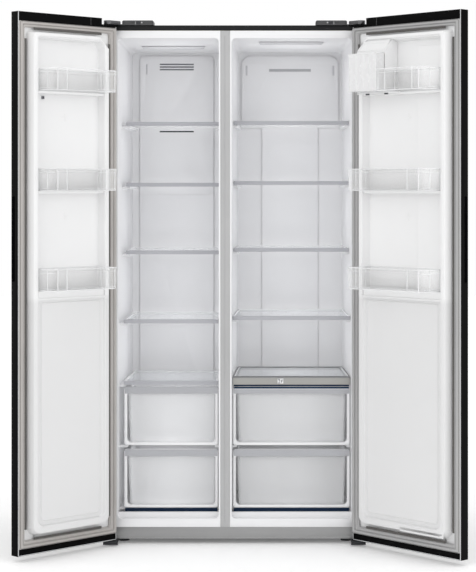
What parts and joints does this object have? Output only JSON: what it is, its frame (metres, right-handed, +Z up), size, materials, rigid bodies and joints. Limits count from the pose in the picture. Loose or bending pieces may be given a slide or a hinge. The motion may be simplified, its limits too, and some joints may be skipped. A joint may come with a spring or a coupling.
{
  "type": "side by side refrigerator",
  "caption": "Tall two-door freezer and fridge side by side, doors standing open on glass shelves, clear door bins, drawers and air ducts",
  "frame": {"origin": "middle of the whole object's footprint on the floor, with the doors standing open", "axes": "+Z up, -Y towards the person in front of it, +X to their right"},
  "size_m": [1.466, 1.0388, 1.773],
  "materials": {
    "black_paint": "satin black",
    "door_glass": "gloss black",
    "steel": "zinc plated",
    "dark_metal": "matt dark grey",
    "foam": "rigid foam",
    "white_plastic": "satin white",
    "grey_trim": "satin grey",
    "gasket": "matt warm grey",
    "clear_plastic": "clear",
    "shelf_glass": "clear tempered",
    "dark_plastic": "matt"
  },
  "bodies": {
    "root": {"cabinet_shell": "black_paint", "back_panel": "steel", "insulation_foam": "foam", "base_tray": "dark_metal", "rear_cover": "dark_metal", "freezer_liner": "white_plastic", "fridge_liner": "white_plastic", "centre_mullion": "grey_trim", "bottom_rail": "grey_trim", "freezer_duct_cover": "white_plastic", "fridge_duct_cover": "white_plastic", "freezer_lamp_lens": "clear_plastic", "fridge_lamp_lens": "clear_plastic", "evaporator": "steel", "compressor": "dark_metal", "top_hinge_left": "steel", "top_hinge_right": "steel", "hinge_cover_left": "black_paint", "hinge_cover_right": "black_paint", "bottom_hinge_left": "dark_metal", "bottom_hinge_right": "dark_metal", "freezer_drawer_cover": "shelf_glass", "crisper_cover": "shelf_glass"},
    "left_door": {"left_door_panel": "door_glass", "left_door_liner": "white_plastic", "left_door_gasket": "gasket"},
    "right_door": {"right_door_panel": "door_glass", "right_door_liner": "white_plastic", "right_door_gasket": "gasket", "dairy_housing": "white_plastic"},
    "left_door_bin_1": {"left_door_bin_1": "clear_plastic"},
    "left_door_bin_2": {"left_door_bin_2": "clear_plastic"},
    "left_door_bin_3": {"left_door_bin_3": "clear_plastic"},
    "right_door_bin_1": {"right_door_bin_1": "clear_plastic"},
    "right_door_bin_2": {"right_door_bin_2": "clear_plastic"},
    "right_door_bin_3": {"right_door_bin_3": "clear_plastic"},
    "dairy_flap": {"dairy_flap": "clear_plastic"},
    "freezer_shelf_1": {"freezer_shelf_1": "shelf_glass"},
    "freezer_shelf_2": {"freezer_shelf_2": "shelf_glass"},
    "freezer_shelf_3": {"freezer_shelf_3": "shelf_glass"},
    "freezer_shelf_4": {"freezer_shelf_4": "shelf_glass"},
    "freezer_upper_drawer": {"freezer_upper_drawer_tub": "clear_plastic", "freezer_upper_drawer_front": "white_plastic"},
    "freezer_lower_drawer": {"freezer_lower_drawer_tub": "clear_plastic", "freezer_lower_drawer_front": "white_plastic"},
    "fridge_shelf_1": {"fridge_shelf_1": "shelf_glass"},
    "fridge_shelf_2": {"fridge_shelf_2": "shelf_glass"},
    "fridge_shelf_3": {"fridge_shelf_3": "shelf_glass"},
    "fridge_shelf_4": {"fridge_shelf_4": "shelf_glass"},
    "fridge_upper_drawer": {"fridge_upper_drawer_tub": "clear_plastic", "fridge_upper_drawer_front": "white_plastic"},
    "fridge_lower_drawer": {"fridge_lower_drawer_tub": "clear_plastic", "fridge_lower_drawer_front": "white_plastic"},
    "humidity_slider": {"humidity_slider": "white_plastic"},
    "evaporator_fan": {"evaporator_fan": "dark_plastic"},
    "rear_roller_left": {"rear_roller_left": "dark_plastic"},
    "front_foot_left": {"front_foot_left": "dark_plastic"},
    "rear_roller_right": {"rear_roller_right": "dark_plastic"},
    "front_foot_right": {"front_foot_right": "dark_plastic"}
  },
  "joints": [
    {"name": "left_door_hinge", "type": "hinge", "parent": "root", "child": "left_door", "pos_m": [-0.44406, -0.14059, 0.9], "axis": [0, 0, -1], "range_deg": [-135, 0]},
    {"name": "right_door_hinge", "type": "hinge", "parent": "root", "child": "right_door", "pos_m": [0.40693, -0.14059, 0.9], "axis": [0, 0, 1], "range_deg": [-133, 0]},
    {"name": "left_door_bin_1_lift", "type": "slide", "parent": "left_door", "child": "left_door_bin_1", "axis": [0, 0, 1], "range_m": [0, 0.04]},
    {"name": "left_door_bin_2_lift", "type": "slide", "parent": "left_door", "child": "left_door_bin_2", "axis": [0, 0, 1], "range_m": [0, 0.04]},
    {"name": "left_door_bin_3_lift", "type": "slide", "parent": "left_door", "child": "left_door_bin_3", "axis": [0, 0, 1], "range_m": [0, 0.04]},
    {"name": "right_door_bin_1_lift", "type": "slide", "parent": "right_door", "child": "right_door_bin_1", "axis": [0, 0, 1], "range_m": [0, 0.04]},
    {"name": "right_door_bin_2_lift", "type": "slide", "parent": "right_door", "child": "right_door_bin_2", "axis": [0, 0, 1], "range_m": [0, 0.04]},
    {"name": "right_door_bin_3_lift", "type": "slide", "parent": "right_door", "child": "right_door_bin_3", "axis": [0, 0, 1], "range_m": [0, 0.04]},
    {"name": "dairy_flap_hinge", "type": "hinge", "parent": "right_door", "child": "dairy_flap", "pos_m": [0.42919, -0.29349, 1.644], "axis": [-0.682, 0.7314, 0], "range_deg": [0, 80]},
    {"name": "freezer_shelf_1_slide", "type": "slide", "parent": "root", "child": "freezer_shelf_1", "axis": [0, -1, 0], "range_m": [0, 0.19]},
    {"name": "freezer_shelf_2_slide", "type": "slide", "parent": "root", "child": "freezer_shelf_2", "axis": [0, -1, 0], "range_m": [0, 0.19]},
    {"name": "freezer_shelf_3_slide", "type": "slide", "parent": "root", "child": "freezer_shelf_3", "axis": [0, -1, 0], "range_m": [0, 0.19]},
    {"name": "freezer_shelf_4_slide", "type": "slide", "parent": "root", "child": "freezer_shelf_4", "axis": [0, -1, 0], "range_m": [0, 0.19]},
    {"name": "freezer_upper_drawer_slide", "type": "slide", "parent": "root", "child": "freezer_upper_drawer", "axis": [0, -1, 0], "range_m": [0, 0.26]},
    {"name": "freezer_lower_drawer_slide", "type": "slide", "parent": "root", "child": "freezer_lower_drawer", "axis": [0, -1, 0], "range_m": [0, 0.26]},
    {"name": "fridge_shelf_1_slide", "type": "slide", "parent": "root", "child": "fridge_shelf_1", "axis": [0, -1, 0], "range_m": [0, 0.19]},
    {"name": "fridge_shelf_2_slide", "type": "slide", "parent": "root", "child": "fridge_shelf_2", "axis": [0, -1, 0], "range_m": [0, 0.19]},
    {"name": "fridge_shelf_3_slide", "type": "slide", "parent": "root", "child": "fridge_shelf_3", "axis": [0, -1, 0], "range_m": [0, 0.19]},
    {"name": "fridge_shelf_4_slide", "type": "slide", "parent": "root", "child": "fridge_shelf_4", "axis": [0, -1, 0], "range_m": [0, 0.19]},
    {"name": "fridge_upper_drawer_slide", "type": "slide", "parent": "root", "child": "fridge_upper_drawer", "axis": [0, -1, 0], "range_m": [0, 0.26]},
    {"name": "fridge_lower_drawer_slide", "type": "slide", "parent": "root", "child": "fridge_lower_drawer", "axis": [0, -1, 0], "range_m": [0, 0.26]},
    {"name": "humidity_slide", "type": "slide", "parent": "root", "child": "humidity_slider", "axis": [1, 0, 0], "range_m": [-0.03, 0.03]},
    {"name": "evaporator_fan_spin", "type": "hinge", "parent": "root", "child": "evaporator_fan", "pos_m": [-0.23841, 0.40241, 1.3], "axis": [0, 1, 0], "continuous": true},
    {"name": "rear_roller_left_roll", "type": "hinge", "parent": "root", "child": "rear_roller_left", "pos_m": [-0.40607, 0.47941, 0.018], "axis": [1, 0, 0], "continuous": true},
    {"name": "front_foot_left_turn", "type": "hinge", "parent": "root", "child": "front_foot_left", "pos_m": [-0.39907, -0.04059, 0.01], "axis": [0, 0, 1], "continuous": true},
    {"name": "rear_roller_right_roll", "type": "hinge", "parent": "root", "child": "rear_roller_right", "pos_m": [0.36894, 0.47941, 0.018], "axis": [1, 0, 0], "continuous": true},
    {"name": "front_foot_right_turn", "type": "hinge", "parent": "root", "child": "front_foot_right", "pos_m": [0.36194, -0.04059, 0.01], "axis": [0, 0, 1], "continuous": true}
  ]
}
